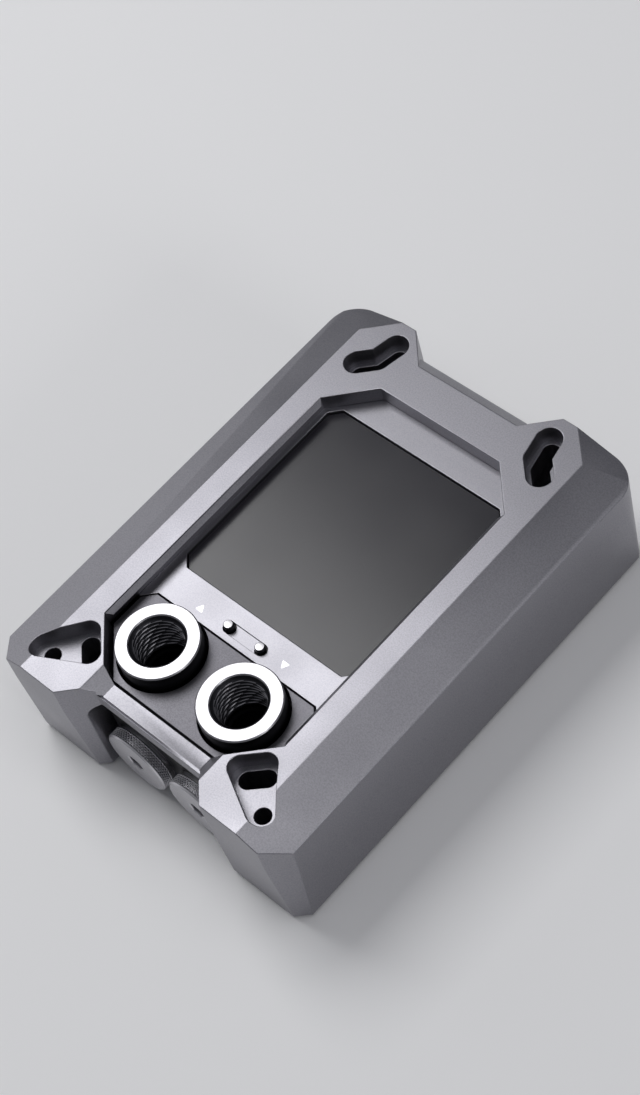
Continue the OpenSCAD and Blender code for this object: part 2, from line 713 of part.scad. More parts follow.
// Ring of the cold plate's seal; g widens it for its groove and e sinks it a little
module cold_seal(g, e) {
  r = 3;
  w = seal_w / 2 + g;
  translate([0, 0, plate_top - e]) linear_extrude(seal_h + e) difference() {
    round_rect(seal_x / 2 + w, seal_y / 2 + w, r + w);
    round_rect(seal_x / 2 - w, seal_y / 2 - w, r - w);
  }
}
module round_rect(x, y, r) {
  for (i = [-1, 1], j = [-1, 1]) translate([i * (x - r), j * (y - r)]) circle(r = r);
  square([2 * x, 2 * (y - r)], center = true);
  square([2 * (x - r), 2 * y], center = true);
}

// Sheet with one slot over the fins
module jet_plate() {
  color("#c4c6ca") difference() {
    slab(cut_rect(jet_x - 0.1, -jet_y, jet_y, 0.5, 0.5), fins_z, jet_z);
    translate([-plenum_x + 1, -jet_slot / 2, fins_z - 1]) cube([2 * plenum_x - 2, jet_slot, 4]);
  }
}

// Copper cold plate with a raised face below and fins above
module cold_plate() {
  pitch = fin_t + fin_gap;
  n = floor((fins_w + fin_gap) / pitch);
  side = plate_side / 2;
  color("#b8673f") difference() {
    union() {
      slab(cut_rect(pad_side / 2, -pad_side / 2, pad_side / 2, 2, 2), 0, pad_step + eps);
      slab(cut_rect(side, -side, side, 2, 2), pad_step, plate_top);
      for (i = [0:n - 1]) translate([(i - (n - 1) / 2) * pitch - fin_t / 2, -fins_l / 2, plate_top - eps])
        cube([fin_t, fins_l, fins_h + eps]);
    }
    for (p = cold_screws) rod(p, m25_r + hole_gap, 0, plate_top + 1);
  }
}

module cold_plate_seal() {
  color("#111112") cold_seal(0, 0);
}

// Stop plug with a knurled rim, a hex socket and a threaded end
module plug(s) {
  color("#77767b") translate([s * front_port_x, plug_y0, plug_z]) rotate([-90, 0, 0]) difference() {
    union() {
      cylinder(r = plug_r, h = plug_head);
      cylinder(r = thread_r - thread_gap, h = plug_head + plug_thread);
    }
    translate([0, 0, -1]) cylinder(d = plug_hex / cos(30), h = 4, $fn = 6);
    translate([0, 0, plug_head - plug_seal_t]) difference() {
      cylinder(r = plug_seal_r, h = plug_seal_t + eps);
      translate([0, 0, -1]) cylinder(r = thread_r - thread_gap, h = 4);
    }
    for (i = [0:knurls - 1]) rotate(i * 360 / knurls) translate([plug_r, 0, 0.5]) rotate(45)
      translate([-0.25, -0.25, 0]) cube([0.5, 0.5, plug_head - 1]);
  }
}

// Seal ring under a plug's head
module plug_seal(s) {
  color("#111112") translate([s * front_port_x, manifold_y0 - plug_seal_t, plug_z])
    rotate([-90, 0, 0]) difference() {
      cylinder(r = plug_seal_r - 0.1, h = plug_seal_t);
      translate([0, 0, -1]) cylinder(r = thread_r, h = 4);
    }
}

// Contact pin: a round pin with a foot below its bush
module contact_pin(s) {
  top = deck_z + pin_rise;
  color("#9a9a9f") translate([s * pin_x, -pin_y, 0]) rotate_extrude() polygon([
    [0, plate_z0 - pin_foot], [bush_r, plate_z0 - pin_foot], [bush_r, plate_z0], [pin_r, plate_z0],
    [pin_r, top - pin_chamfer], [pin_r - pin_chamfer, top], [0, top]]);
}

// Bush that keeps a pin clear of the face plate
module pin_bush(s) {
  color("#111112") translate([s * pin_x, -pin_y, plate_z0]) rotate_extrude()
    translate([pin_r, 0]) square([bush_r - pin_r, plate_t - pin_recess - 0.8]);
}

module cold_plate_screws() {
  color("#2a2a2d") for (p = cold_screws)
    screw(p, pad_step, m25_r, cold_head_r, cold_head_t, plate_top - pad_step + cold_screw_in);
}
module cover_screws() {
  color("#2a2a2d") for (p = cover_screw_xy)
    screw(p, cover_seat, m3_r, 2 * m3_r - hole_gap, head_h, cover_screw_len);
}
module port_block_screws() {
  color("#2a2a2d") for (p = block_screws)
    screw(p, block_seat, m3_r, 2 * m3_r - hole_gap, head_h, block_screw_len);
}
module face_plate_screws() {
  color("#2a2a2d") for (s = [-1, 1], y = plate_screw_ys)
    screw([s * plate_screw_x, y], plate_z0, m25_r, plate_head_r, plate_head_t,
      plate_t + plate_screw_deep - 0.4);
}
module bracket_screws() {
  color("#2a2a2d") for (s = [-1, 1], y = post_ys)
    screw([s * post_x, y], bracket_z0, m2_r, bracket_head_r, bracket_head_t,
      display_t + bracket_t + bracket_screw_in);
}
module board_screws() {
  color("#2a2a2d") for (p = board_posts)
    screw(p, board_z0, m2_r, board_head_r, board_head_t, board_t + board_post + board_screw_in);
}

outer_cover();
face_plate();
screen_glass();
display_module();
display_bracket();
control_board();
data_socket();
port_block();
port_bushing(-1);  // port_bushing_left
port_bushing(1);  // port_bushing_right
bushing_seal(-1);  // bushing_seal_left
bushing_seal(1);  // bushing_seal_right
manifold_body();
jet_plate();
cold_plate();
cold_plate_seal();
plug(-1);  // plug_left
plug(1);  // plug_right
plug_seal(-1);  // plug_seal_left
plug_seal(1);  // plug_seal_right
contact_pin(-1);  // contact_pin_left
contact_pin(1);  // contact_pin_right
pin_bush(-1);  // pin_bush_left
pin_bush(1);  // pin_bush_right
cold_plate_screws();
cover_screws();
port_block_screws();
face_plate_screws();
bracket_screws();
board_screws();
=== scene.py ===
"""Looks of a processor water block: an anodised cover with a screen, two tall threaded ports on
top and two plugged ports at the front. Every length is in metres, and MM turns millimetres into them."""
import json
import math

import bmesh
import bpy
import numpy as np
from mathutils import Matrix, Vector


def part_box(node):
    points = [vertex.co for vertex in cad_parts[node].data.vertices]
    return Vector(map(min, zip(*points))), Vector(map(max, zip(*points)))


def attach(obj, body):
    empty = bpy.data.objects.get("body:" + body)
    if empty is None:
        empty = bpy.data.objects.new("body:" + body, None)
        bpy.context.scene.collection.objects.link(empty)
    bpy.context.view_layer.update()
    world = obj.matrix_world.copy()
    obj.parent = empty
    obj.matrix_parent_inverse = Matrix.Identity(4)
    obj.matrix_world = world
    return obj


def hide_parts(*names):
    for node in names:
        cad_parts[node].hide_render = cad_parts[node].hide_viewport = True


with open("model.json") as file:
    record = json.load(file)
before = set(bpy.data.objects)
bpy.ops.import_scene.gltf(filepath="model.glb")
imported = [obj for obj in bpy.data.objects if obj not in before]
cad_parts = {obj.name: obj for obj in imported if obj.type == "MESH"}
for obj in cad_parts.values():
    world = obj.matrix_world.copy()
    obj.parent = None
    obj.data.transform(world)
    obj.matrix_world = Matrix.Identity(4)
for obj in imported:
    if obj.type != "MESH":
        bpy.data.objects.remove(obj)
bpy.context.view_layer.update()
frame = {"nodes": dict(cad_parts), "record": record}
nodes = frame["nodes"]
MM = 0.001

# Camera: a long lens, high above the block's front right corner, at the photograph's angle. It is
# rolled about its own axis, so that the block's long sides climb steeply across the frame.
CAMERA_AIM = Vector((-8.77, 7.78, 20.0)) * MM
CAMERA_DISTANCE = 543.0 * MM
CAMERA_AZIMUTH, CAMERA_ELEVATION, CAMERA_ROLL = map(math.radians, (-58.51, 55.01, -19.13))
CAMERA_LENS, CAMERA_SENSOR = 78.23, 36.0

forward = Vector((math.sin(CAMERA_AZIMUTH) * math.cos(CAMERA_ELEVATION),
                  math.cos(CAMERA_AZIMUTH) * math.cos(CAMERA_ELEVATION), -math.sin(CAMERA_ELEVATION)))
level = forward.cross(Vector((0, 0, 1))).normalized()
across = Matrix.Rotation(CAMERA_ROLL, 3, -forward) @ level
camera_data = bpy.data.cameras.new("camera")
camera_data.lens, camera_data.sensor_width = CAMERA_LENS, CAMERA_SENSOR
camera_data.clip_start, camera_data.clip_end = 0.01, 50
camera = bpy.data.objects.new("camera", camera_data)
turn = Matrix((across, (-forward).cross(across), -forward)).transposed()
camera.matrix_world = Matrix.Translation(CAMERA_AIM - forward * CAMERA_DISTANCE) @ turn.to_4x4()
bpy.context.collection.objects.link(camera)
bpy.context.scene.camera = camera
bpy.context.scene.view_settings.view_transform = "Standard"


# Studio: a pale seamless floor, an even grey room and soft boxes. The flat top faces mirror the key
# box, the front ones its middle and the rear ones its edge, so the top fades to the rear. The long
# bevels mirror the top and left boxes, the right box lights the lips and threads, the front is dim.
FLOOR_COLOUR, ROOM_COLOUR = "#EDEDEE", "#76777B"
FLOOR_REACH, FLOOR_MOTTLE, FLOOR_BUMP = 3.0, 40 * MM, 0.2 * MM
SOFT_BOXES = {
    # name: (direction from the block, distance, width, radiance)
    "key_box": ((-0.51, 0.02, 0.86), 0.91, 0.52, 4.6),
    "top_box": ((0.28, 0.12, 0.95), 1.1, 0.6, 1.2),
    "left_box": ((-0.94, 0.0, 0.33), 1.2, 0.8, 0.65),
    "right_box": ((0.95, -0.05, 0.3), 1.2, 0.35, 8.0),
    "front_box": ((-0.6, -0.85, 0.45), 1.3, 0.5, 0.3),
}


def linear(hex_colour):
    """An sRGB hex colour as linear RGBA: a channel up to 0.04045 is divided by 12.92, and above
    that it is ((channel + 0.055) / 1.055) to the power 2.4."""
    channel = np.array([int(hex_colour[i:i + 2], 16) for i in (1, 3, 5)]) / 255
    curved = np.where(channel <= 0.04045, channel / 12.92, ((channel + 0.055) / 1.055) ** 2.4)
    return (*curved.tolist(), 1.0)


def add_node(tree, kind, settings=None, links=None):
    """Adds a shader node. A setting in small letters is a property, "stops" are a ramp's colours,
    and any other name or number is an input; links feed inputs from other nodes' outputs."""
    node = tree.nodes.new(kind)
    for key, value in (settings or {}).items():
        if key == "stops":
            for _ in value[2:]:
                node.color_ramp.elements.new(1.0)
            for element, (place, colour) in zip(node.color_ramp.elements, value):
                element.position, element.color = place, linear(colour)
        elif isinstance(key, str) and key[0].islower():
            setattr(node, key, value)
        else:
            node.inputs[key].default_value = value
    for key, output in (links or {}).items():
        tree.links.new(output, node.inputs[key])
    return node


def new_material(name, colour, **constants):
    """A material with one Principled surface of that colour and those constant inputs. Returns the
    material, its tree, its surface and the output that gives object coordinates."""
    material = bpy.data.materials.new(name)
    material.use_nodes = True
    tree = material.node_tree
    tree.nodes.clear()
    settings = {"Base Color": linear(colour)}
    settings.update({key.replace("_", " "): value for key, value in constants.items()})
    surface = add_node(tree, "ShaderNodeBsdfPrincipled", settings)
    add_node(tree, "ShaderNodeOutputMaterial", links={"Surface": surface.outputs["BSDF"]})
    place = add_node(tree, "ShaderNodeTexCoord").outputs["Object"]
    return material, tree, surface, place


def add_object(name, mesh):
    """Links a mesh into the scene as an object of that name."""
    thing = bpy.data.objects.new(name, mesh)
    bpy.context.collection.objects.link(thing)
    return thing


room = bpy.data.worlds.new("room")
room.use_nodes = True
room.node_tree.nodes["Background"].inputs["Color"].default_value = linear(ROOM_COLOUR)
bpy.context.scene.world = room
for box_name, (way, distance, width, radiance) in SOFT_BOXES.items():
    lamp = bpy.data.lights.new(box_name, "AREA")
    lamp.shape, lamp.size = "SQUARE", width
    lamp.energy = radiance * math.pi * width ** 2
    soft_box = add_object(box_name, lamp)
    soft_box.visible_camera = False
    away = Vector(way).normalized()
    soft_box.matrix_world = (Matrix.Translation(CAMERA_AIM + away * distance)
                             @ away.to_track_quat("Z", "Y").to_matrix().to_4x4())

floor_paper, tree, surface, place = new_material("seamless_paper", FLOOR_COLOUR, Roughness=0.9)
mottle = add_node(tree, "ShaderNodeTexNoise", {"Scale": 1 / FLOOR_MOTTLE, "Detail": 2.0}, {"Vector": place})
add_node(tree, "ShaderNodeBump", {"Distance": FLOOR_BUMP, "Strength": 0.2},
         {"Height": mottle.outputs["Fac"]})
tree.links.new(tree.nodes["Bump"].outputs["Normal"], surface.inputs["Normal"])
floor_mesh = bpy.data.meshes.new("floor")
floor_corners = [(x * FLOOR_REACH, y * FLOOR_REACH, 0) for x, y in ((-1, -1), (1, -1), (1, 1), (-1, 1))]
floor_mesh.from_pydata(floor_corners, [], [(0, 1, 2, 3)])
floor_mesh.materials.append(floor_paper)
add_object("floor", floor_mesh)


# Cover: one block of aluminium, machined all round, blasted with fine beads and anodised in a
# neutral grey. It shows a fine even sparkle on satin faces, and edges that the cutter only just broke.
COVER_COLOUR, COVER_DARK, COVER_ROUGHNESS = "#98979D", "#8B8A90", 0.4
COVER_GRAIN, COVER_PIT = 0.34 * MM, 0.008 * MM
COVER_EDGE = 0.22 * MM
ROUGHNESS_SPREAD, CLOUD = 0.05, 22 * MM
SHARP, SHALLOW, SLIVER = math.radians(30), math.radians(19), 0.15 * MM
DOUBLE, FLAT = 0.002 * MM, math.radians(0.5)
# Corners in slivers, as (across, along, up, reach): where the dip's slopes meet the opening, and
# where they meet the front notch. The cover has each of them on both sides.
DIP_CORNERS = ((18.5, -48.2, 35, 1.4), (16.4, -53.85, 31.5, 1.05))


def blasted_metal(name, colour, dark, roughness, grain, pit):
    """Metal blasted with beads and anodised. Noise with cells as wide as `grain` tilts the surface
    by pits `pit` deep and takes its tone from `dark` to `colour`; wide soft clouds shift its
    roughness. Real grains are about 0.1 mm, and these are drawn larger so that they show."""
    material, tree, surface, place = new_material(name, colour, Metallic=1.0)
    grains = add_node(tree, "ShaderNodeTexNoise", {"Scale": 1 / grain, "Detail": 3.0, "Roughness": 0.65},
                      {"Vector": place})
    clouds = add_node(tree, "ShaderNodeTexNoise", {"Scale": 1 / CLOUD, "Detail": 2.0}, {"Vector": place})
    tone = add_node(tree, "ShaderNodeValToRGB", {"stops": [(0.36, dark), (0.6, colour)]},
                    {"Fac": grains.outputs["Fac"]})
    gloss = add_node(tree, "ShaderNodeMapRange",
                     {"From Min": 0.3, "From Max": 0.7, "To Min": roughness - ROUGHNESS_SPREAD,
                      "To Max": roughness + ROUGHNESS_SPREAD}, {"Value": clouds.outputs["Fac"]})
    pits = add_node(tree, "ShaderNodeBump", {"Distance": pit}, {"Height": grains.outputs["Fac"]})
    tree.links.new(tone.outputs["Color"], surface.inputs["Base Color"])
    tree.links.new(gloss.outputs["Result"], surface.inputs["Roughness"])
    tree.links.new(pits.outputs["Normal"], surface.inputs["Normal"])
    return material


def smooth_by_angle(bm, sharp):
    """Shades the faces smooth and marks as sharp each edge that turns by more than `sharp`."""
    for face in bm.faces:
        face.smooth = True
    for edge in bm.edges:
        edge.smooth = edge.calc_face_angle(math.pi) < sharp


def machined_copy(name, node, edge, pinches=()):
    """A copy of a CAD solid's surface as a cutter leaves it: doubles merged, flat facets joined
    into whole faces, slivers closed, and each outward edge rounded by `edge` that turns by more
    than SHARP, or by more than SHALLOW round the top face. Each pinch draws the corners within its
    reach into its place."""
    mesh = nodes[node].data.copy()
    mesh.materials.clear()
    bm = bmesh.new()
    bm.from_mesh(mesh)
    bmesh.ops.remove_doubles(bm, verts=bm.verts, dist=DOUBLE)
    bmesh.ops.dissolve_limit(bm, angle_limit=FLAT, verts=bm.verts, edges=bm.edges)
    for spot, reach in pinches:
        drawn = [corner for corner in bm.verts if (corner.co - spot).length < reach]
        bmesh.ops.pointmerge(bm, verts=drawn, merge_co=spot)
    bmesh.ops.remove_doubles(bm, verts=bm.verts, dist=SLIVER)
    smooth_by_angle(bm, SHARP)
    weight = bm.edges.layers.float.new("bevel_weight_edge")
    top = max(corner.co.z for corner in bm.verts)
    for corner_edge in bm.edges:
        on_top = all(corner.co.z > top - SLIVER for corner in corner_edge.verts)
        least_turn = SHALLOW if on_top else SHARP
        corner_edge[weight] = float(corner_edge.calc_face_angle_signed(0.0) > least_turn)
        corner_edge.smooth = corner_edge.smooth and not corner_edge[weight]
    bm.to_mesh(mesh)
    bm.free()
    piece = add_object(name, mesh)
    rounding = piece.modifiers.new("broken_edges", "BEVEL")
    rounding.width, rounding.segments, rounding.limit_method = edge, 2, "WEIGHT"
    rounding.use_clamp_overlap, rounding.harden_normals = False, True
    return piece


def finish_piece(piece, material, slot, *replaced):
    """Gives a piece its material, lets it ride on the block, and hides the CAD parts it replaces. The slot is
    not used.
    """
    piece.data.materials.append(material)
    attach(piece, "root")
    if replaced:
        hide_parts(*replaced)


cover_metal = blasted_metal("anodised_cover_aluminium", COVER_COLOUR, COVER_DARK, COVER_ROUGHNESS,
                            COVER_GRAIN, COVER_PIT)
pinches = [(Vector((way * out, along, up)) * MM, reach * MM) for way in (-1, 1)
           for out, along, up, reach in DIP_CORNERS]
finish_piece(machined_copy("machined_cover", "outer_cover", COVER_EDGE, pinches), cover_metal,
             "cover_aluminium", "outer_cover")


# Lips: both long walls of the opening overhang a little at the top, where the cutter left a slope at
# 45 degrees between the top face and the wall. Each slope runs out at the wall's two corners.
LIP_OUT, LIP_REACH, LIP_NOSE = 27.8 * MM, 1.1 * MM, 0.25 * MM
LIP_DROP, LIP_ROOT = 0.2 * MM, 0.1 * MM
LIP_START, LIP_END, LIP_RUN_OUT = -38.8 * MM, 32.8 * MM, 1.2 * MM
# Made meshes: spots closer than MERGED are one, and edges that turn by more than MADE_SHARP are sharp
MERGED, CRUMB, MADE_SHARP = 0.0002 * MM, 0.0001 * MM, math.radians(35)


def grid_mesh(name, points, close_across=True, close_along=False):
    """A mesh over a grid of points, rows by columns: each cell is a face, and a closed way joins
    the last row or column to the first. Points that meet at a pole are merged, and the faces are
    turned outwards, which a closed shell's signed volume shows."""
    rows, columns = points.shape[:2]
    row = np.arange(rows if close_along else rows - 1)[:, None]
    column = np.arange(columns if close_across else columns - 1)[None, :]
    row_next, column_next = (row + 1) % rows, (column + 1) % columns
    faces = np.stack([row * columns + column, row * columns + column_next,
                      row_next * columns + column_next, row_next * columns + column], axis=-1)
    mesh = bpy.data.meshes.new(name)
    mesh.from_pydata(points.reshape(-1, 3).tolist(), [], faces.reshape(-1, 4).tolist())
    bm = bmesh.new()
    bm.from_mesh(mesh)
    bmesh.ops.remove_doubles(bm, verts=bm.verts, dist=MERGED)
    bmesh.ops.dissolve_degenerate(bm, edges=bm.edges, dist=CRUMB)
    if bm.calc_volume(signed=True) < 0:
        bmesh.ops.reverse_faces(bm, faces=bm.faces)
    smooth_by_angle(bm, MADE_SHARP)
    bm.to_mesh(mesh)
    bm.free()
    return mesh


cover_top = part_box("outer_cover")[1].z
run_out_ends = [LIP_START, LIP_START + LIP_RUN_OUT, LIP_END - LIP_RUN_OUT, LIP_END]
for side, way in (("left", -1), ("right", 1)):
    along = np.array(run_out_ends)[:, None]
    grown = np.array([0, 1, 1, 0])[:, None]
    # Profile: from its root in the wall down the slope to the nose, and back below the nose
    inwards = grown * np.array([-LIP_ROOT, LIP_REACH, LIP_REACH, -LIP_ROOT])
    down = grown * np.array([0, LIP_REACH, LIP_REACH + LIP_NOSE, LIP_REACH + LIP_NOSE])
    points = np.stack([way * (LIP_OUT - inwards), along + 0 * down, cover_top - LIP_DROP - down], axis=-1)
    lip = add_object("opening_lip_" + side, grid_mesh("opening_lip_" + side, points))
    finish_piece(lip, cover_metal, "cover_aluminium")


# Face plate: a thinner aluminium sheet round the screen, blasted finer and anodised lighter than
# the cover. A silver mark is stamped in foil on each side of the contact pins.
PLATE_COLOUR, PLATE_DARK, PLATE_ROUGHNESS = "#9A999F", "#908F95", 0.38
PLATE_GRAIN, PLATE_PIT, PLATE_EDGE = 0.26 * MM, 0.005 * MM, 0.12 * MM
MARK_REACH, MARK_CORNER, MARK_INK, MARK_ARC = 1.25 * MM, 0.16 * MM, 0.02 * MM, 9
FOIL_COLOUR, FOIL_SPECK, FOIL_PIT = "#C9C8CC", 0.2 * MM, 0.003 * MM
# Each mark's centre, and the way that its point shows
MARKS = {"flow_mark_left": ((-13.6, -23.8), 90), "flow_mark_right": ((11.7, -23.0), -90)}

plate_metal = blasted_metal("anodised_plate_aluminium", PLATE_COLOUR, PLATE_DARK, PLATE_ROUGHNESS,
                            PLATE_GRAIN, PLATE_PIT)
finish_piece(machined_copy("machined_face_plate", "face_plate", PLATE_EDGE), plate_metal,
             "plate_aluminium", "face_plate")


# Foil lies flatter than the blasted sheet, so its mark shines white out of the grey
foil, tree, surface, place = new_material("stamped_silver_foil", FOIL_COLOUR, Metallic=1.0, Roughness=0.3)
speck = add_node(tree, "ShaderNodeTexNoise", {"Scale": 1 / FOIL_SPECK}, {"Vector": place})
add_node(tree, "ShaderNodeBump", {"Distance": FOIL_PIT}, {"Height": speck.outputs["Fac"]})
tree.links.new(tree.nodes["Bump"].outputs["Normal"], surface.inputs["Normal"])
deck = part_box("face_plate")[1].z
for mark_name, (centre, point_way) in MARKS.items():
    # Outline: an arc round each of the three corners, joined by straight sides
    sweep = np.radians(np.linspace(-60, 60, MARK_ARC))
    corners = np.radians(point_way + np.array([0, 120, 240]))[:, None]
    reach = MARK_REACH - 2 * MARK_CORNER
    outline = np.stack([reach * curve(corners) + MARK_CORNER * curve(corners + sweep)
                        for curve in (np.cos, np.sin)], axis=-1).reshape(-1, 2)
    # Rings: the underside's middle and edge, then the top's edge and middle
    rings = np.zeros((4, len(outline), 3))
    rings[1:3, :, :2] = outline
    rings[2:, :, 2] = MARK_INK
    mesh = grid_mesh(mark_name, rings + np.array([centre[0] * MM, centre[1] * MM, deck]))
    finish_piece(add_object(mark_name, mesh), foil, "plate_aluminium")


# Screen: a sheet of smoked glass with cut corners, polished and faintly etched against glare, with
# the dark display behind it. It shows one even charcoal, with a soft sheen from the room.
GLASS_COLOUR, GLASS_EDGE = "#26252B", 0.12 * MM
ETCH_GRAIN, ETCH_PIT, SMEAR = 0.35 * MM, 0.0015 * MM, 18 * MM
smoked_glass, tree, surface, place = new_material("smoked_glass", GLASS_COLOUR, Roughness=0.22, IOR=1.5)
etch = add_node(tree, "ShaderNodeTexNoise", {"Scale": 1 / ETCH_GRAIN, "Detail": 2.0}, {"Vector": place})
add_node(tree, "ShaderNodeBump", {"Distance": ETCH_PIT}, {"Height": etch.outputs["Fac"]})
tree.links.new(tree.nodes["Bump"].outputs["Normal"], surface.inputs["Normal"])
smear = add_node(tree, "ShaderNodeTexNoise", {"Scale": 1 / SMEAR, "Detail": 2.0}, {"Vector": place})
sheen = add_node(tree, "ShaderNodeMapRange", {"To Min": 0.18, "To Max": 0.27},
                 {"Value": smear.outputs["Fac"]})
tree.links.new(sheen.outputs["Result"], surface.inputs["Roughness"])
finish_piece(machined_copy("screen_cover_glass", "screen_glass", GLASS_EDGE), smoked_glass,
             "screen_glass", "screen_glass")


# Port block: aluminium, milled flat with eight sides, blasted fine and anodised dark grey. Both
# collars pass through it with a dark gap all round.
BLOCK_COLOUR, BLOCK_DARK, BLOCK_ROUGHNESS = "#6A696E", "#5D5C61", 0.42
BLOCK_GRAIN, BLOCK_PIT, BLOCK_EDGE = 0.3 * MM, 0.006 * MM, 0.18 * MM

block_metal = blasted_metal("anodised_block_aluminium", BLOCK_COLOUR, BLOCK_DARK, BLOCK_ROUGHNESS,
                            BLOCK_GRAIN, BLOCK_PIT)
finish_piece(machined_copy("machined_port_block", "port_block", BLOCK_EDGE), block_metal,
             "block_aluminium", "port_block")


# Collars: turned from brass bar, with a G1/4 thread inside, coloured near black all over. The top face is
# bright turned metal, with fine rings round the mouth from the lathe, and the thread's crests carry a
# painted highlight: coloured bright where they stand further in than CREST_DEPTH.
THREAD_PITCH, THREAD_DEPTH, CREST_DEPTH = 1.337 * MM, 0.86 * MM, 0.7 * MM
COLLAR_CHAMFER, MOUTH_CHAMFER, COLLAR_WALL_STEP = 0.3 * MM, 0.27 * MM, 0.1 * MM
DROP_RADIUS, SPIGOT_RADIUS, SPIGOT_LENGTH = 5.0 * MM, 8.0 * MM, 2.8 * MM
AROUND, LATHE_GRAIN = 144, 0.3 * MM


def turned(radius, height, centre, axis, around):
    """Points of a turned part: radius, a row for each height and one or `around` columns, carried
    round the axis: out from the centre by radius, and along the axis by height."""
    angle = np.linspace(0, 2 * np.pi, around, endpoint=False)
    axis = Vector(axis)
    first = axis.orthogonal().normalized() if abs(axis.z) < 0.5 else Vector((1, 0, 0))
    second = axis.cross(first)
    swing = np.cos(angle)[:, None] * np.array(first) + np.sin(angle)[:, None] * np.array(second)
    radius = np.broadcast_to(radius, (len(height), around))
    return np.array(centre) + radius[..., None] * swing + np.array(height)[:, None, None] * np.array(axis)


def ridge(phase):
    """Height of a thread's ridge from 0 to 1 along its pitch: a triangle with its top and foot cut."""
    triangle = np.abs(2 * (phase % 1.0) - 1)
    return np.clip(1.4 * triangle - 0.2, 0, 1)


def rings_metal(name, colour, dark, roughness, centres, step, depth):
    """Metal cut on a lathe: a wave across the distance from the nearest of the given axes, one ring
    for each `step` of feed, sets both the bump and a slight change of tone."""
    material, tree, surface, place = new_material(name, colour, Metallic=1.0, Roughness=roughness)
    nearest = None
    for centre in centres:
        gap = add_node(tree, "ShaderNodeVectorMath", {"operation": "DISTANCE", 1: centre}, {0: place})
        gap = gap.outputs["Value"]
        nearest = gap if nearest is None else add_node(
            tree, "ShaderNodeMath", {"operation": "MINIMUM"}, {0: nearest, 1: gap}).outputs[0]
    turns = add_node(tree, "ShaderNodeMath", {"operation": "MULTIPLY", 1: 2 * math.pi / step}, {0: nearest})
    wave = add_node(tree, "ShaderNodeMath", {"operation": "SINE"}, {0: turns.outputs[0]})
    grain = add_node(tree, "ShaderNodeTexNoise", {"Scale": 1 / LATHE_GRAIN, "Detail": 3.0}, {"Vector": place})
    mixed = add_node(tree, "ShaderNodeMath", {"operation": "MULTIPLY_ADD", 1: 0.25},
                     {0: wave.outputs[0], 2: grain.outputs["Fac"]})
    tone = add_node(tree, "ShaderNodeValToRGB", {"stops": [(0.2, dark), (0.8, colour)]},
                    {"Fac": mixed.outputs[0]})
    bump = add_node(tree, "ShaderNodeBump", {"Distance": depth}, {"Height": mixed.outputs[0]})
    tree.links.new(tone.outputs["Color"], surface.inputs["Base Color"])
    tree.links.new(bump.outputs["Normal"], surface.inputs["Normal"])
    return material


def recolour_faces(mesh, *zones):
    """Gives the faces whose centres pass a zone's test that zone's metal: bright bare metal, or a painted
    highlight on the thread crests.
    """
    centres = np.empty(3 * len(mesh.polygons))
    mesh.polygons.foreach_get("center", centres)
    index = np.zeros(len(mesh.polygons), dtype=np.int32)
    for metal, test in zones:
        mesh.materials.append(metal)
        index[test(centres.reshape(-1, 3))] = len(mesh.materials) - 1
    mesh.polygons.foreach_set("material_index", index)


port_mounts = {mount["name"]: mount for mount in frame["record"]["mounts"]}
collar_tops = []
for side in ("left", "right"):
    low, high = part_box("port_bushing_" + side)
    collar_tops.append(((low.x + high.x) / 2, (low.y + high.y) / 2, high.z))
bright_brass = rings_metal("bright_turned_collar", "#AEADB1", "#A2A1A5", 0.3, collar_tops,
                           0.35 * MM, 0.006 * MM)
black_brass = rings_metal("near_black_collar", "#323236", "#252528", 0.38, collar_tops,
                          0.5 * MM, 0.004 * MM)
# Painted highlight: light grey on the thread's crests, which stands in for the light they catch
highlight_crest_brass = rings_metal("painted_highlight_thread_crests", "#9A999E", "#88878C", 0.3, collar_tops,
                         0.5 * MM, 0.003 * MM)
for side, top in zip(("left", "right"), collar_tops):
    low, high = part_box("port_bushing_" + side)
    mount = port_mounts["port_" + side]
    thread_radius = mount["dims"]["r_mm"] * MM
    thread_end = top[2] - MOUTH_CHAMFER - mount["dims"]["length_mm"] * MM
    collar_radius, mouth_radius = (high.x - low.x) / 2, thread_radius + MOUTH_CHAMFER
    seat = low.z + SPIGOT_LENGTH
    wall = np.arange(top[2] - MOUTH_CHAMFER, thread_end, -COLLAR_WALL_STEP)
    angle = np.linspace(0, 1, AROUND, endpoint=False)
    # The ridge dies away over the last turn, and the mouth's cone cuts its first turns off
    fade = np.clip((wall - thread_end) / THREAD_PITCH, 0, 1)[:, None]
    crest = thread_radius - THREAD_DEPTH * fade * ridge(wall[:, None] / THREAD_PITCH - angle)
    crest = np.maximum(crest, mouth_radius - (top[2] - wall)[:, None])
    outside = [(DROP_RADIUS, low.z), (SPIGOT_RADIUS, low.z), (SPIGOT_RADIUS, seat), (collar_radius, seat),
               (collar_radius, top[2] - COLLAR_CHAMFER), (collar_radius - COLLAR_CHAMFER, top[2]),
               (mouth_radius, top[2])]
    inside = [(thread_radius, thread_end), (DROP_RADIUS, thread_end)]
    before, after = np.array(outside), np.array(inside)
    radius = np.vstack([np.repeat(before[:, :1], AROUND, 1), crest, np.repeat(after[:, :1], AROUND, 1)])
    height = np.concatenate([before[:, 1], wall, after[:, 1]])
    mesh = grid_mesh("threaded_collar_" + side,
                     turned(radius, height, (top[0], top[1], 0), (0, 0, 1), AROUND), close_along=True)
    piece = add_object("threaded_collar_" + side, mesh)
    finish_piece(piece, black_brass, "collar_brass", "port_bushing_" + side)

    def from_axis(spot):
        """Distance of each spot from the collar's axis."""
        return np.hypot(spot[:, 0] - top[0], spot[:, 1] - top[1])

    # Painted highlight on the crests; the top face is bright turned metal
    crest_highlight = (highlight_crest_brass,
            lambda spot: (spot[:, 2] > thread_end) & (from_axis(spot) < thread_radius - CREST_DEPTH))
    faced = (bright_brass,
             lambda spot: (spot[:, 2] > top[2] - COLLAR_CHAMFER) & (from_axis(spot) > thread_radius))
    recolour_faces(mesh, crest_highlight, faced)


